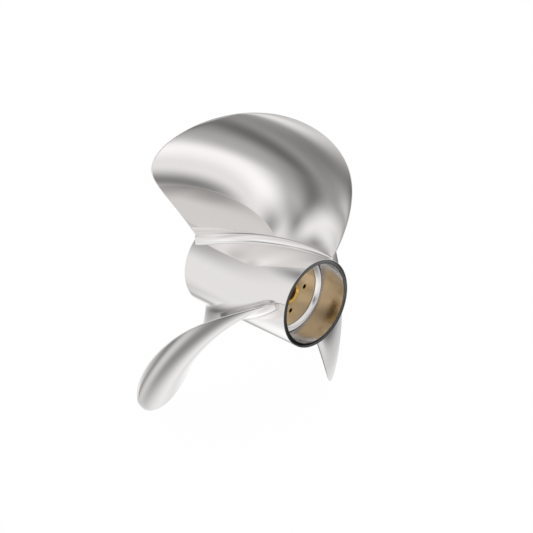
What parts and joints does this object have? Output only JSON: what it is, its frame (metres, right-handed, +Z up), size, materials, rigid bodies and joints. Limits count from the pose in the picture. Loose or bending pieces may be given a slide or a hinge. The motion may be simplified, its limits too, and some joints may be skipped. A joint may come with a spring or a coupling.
{
  "type": "three-blade boat propeller",
  "caption": "Left-hand boat propeller with broad polished blades, root beads and a barrel hub closed by drilled brass plates round a through bore.",
  "frame": {"origin": "on the shaft axis, in the face of the forward plate, where the propeller bears on its shaft", "axes": "+Y along the shaft from the forward, open end to the after end; +Z up through the middle of blade 1"},
  "size_m": [0.3621, 0.1565, 0.3433],
  "materials": {
    "polished_steel": "mirror polished stainless steel",
    "brass": "machined, satin",
    "dark_rubber": "smooth, dark"
  },
  "bodies": {
    "root": {"hub_barrel": "polished_steel", "blade_1": "polished_steel", "blade_2": "polished_steel", "blade_3": "polished_steel", "root_bead_1": "polished_steel", "root_bead_2": "polished_steel", "root_bead_3": "polished_steel", "front_seal_ring": "dark_rubber", "aft_seal_ring": "dark_rubber", "front_retaining_ring": "polished_steel", "aft_retaining_ring": "polished_steel", "front_plate": "brass", "aft_plate": "brass", "front_collar": "brass", "aft_collar": "brass", "drive_sleeve": "brass", "rubber_bush": "dark_rubber", "inner_hub": "polished_steel", "web_1": "polished_steel", "web_2": "polished_steel", "web_3": "polished_steel"}
  },
  "joints": []
}
